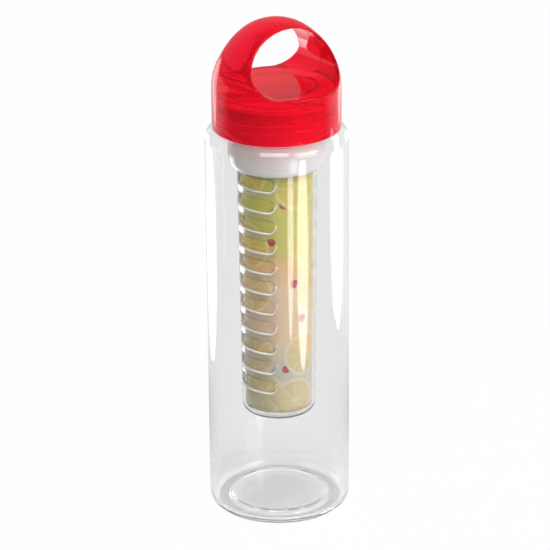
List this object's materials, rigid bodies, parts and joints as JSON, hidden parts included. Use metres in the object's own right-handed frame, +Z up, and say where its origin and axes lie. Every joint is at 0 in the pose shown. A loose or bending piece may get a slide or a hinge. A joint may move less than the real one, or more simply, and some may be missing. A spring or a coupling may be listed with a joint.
{
  "type": "fruit infuser water bottle",
  "caption": "Clear cylindrical drinking bottle with a red screw lid arched into a finger loop, and a slotted infuser tube held under the lid by a white threaded collar.",
  "frame": {"origin": "centre of the foot ring, on the surface that the bottle stands on", "axes": "+Z up along the bottle's axis, X through the two legs of the lid's arch, Y along the finger tunnel with the tunnel's higher mouth at -Y"},
  "size_m": [0.073, 0.073, 0.2637],
  "materials": {
    "bottle_clear": "clear gloss",
    "lid_red": "tinted clear gloss",
    "gasket_silicone": "matte",
    "collar_white": "gloss",
    "tube_clear": "clear gloss",
    "card_print": "satin print"
  },
  "bodies": {
    "bottle": {"bottle_body": "bottle_clear"},
    "gasket": {"lid_gasket": "gasket_silicone"},
    "lid": {"screw_lid": "lid_red"},
    "infuser": {"infuser_tube": "tube_clear", "insert_roll": "card_print"},
    "collar": {"infuser_collar": "collar_white"}
  },
  "joints": [
    {"name": "lid_rise", "type": "slide", "parent": "bottle", "child": "gasket", "axis": [0, 0, 1], "range_m": [0, 0.0161]},
    {"name": "lid_twist", "type": "hinge", "parent": "gasket", "child": "lid", "pos_m": [0, 0, 0.225], "axis": [0, 0, 1], "range_deg": [0, 720]},
    {"name": "collar_drop", "type": "slide", "parent": "lid", "child": "infuser", "axis": [0, 0, -1], "range_m": [0, 0.0091]},
    {"name": "collar_twist", "type": "hinge", "parent": "infuser", "child": "collar", "pos_m": [0, 0, 0.214], "axis": [0, 0, -1], "range_deg": [0, 540]}
  ],
  "couplings": [
    {"joint": "lid_rise", "follows": "lid_twist", "m_per_rad": 0.0012732},
    {"joint": "collar_drop", "follows": "collar_twist", "m_per_rad": 0.00095493}
  ]
}
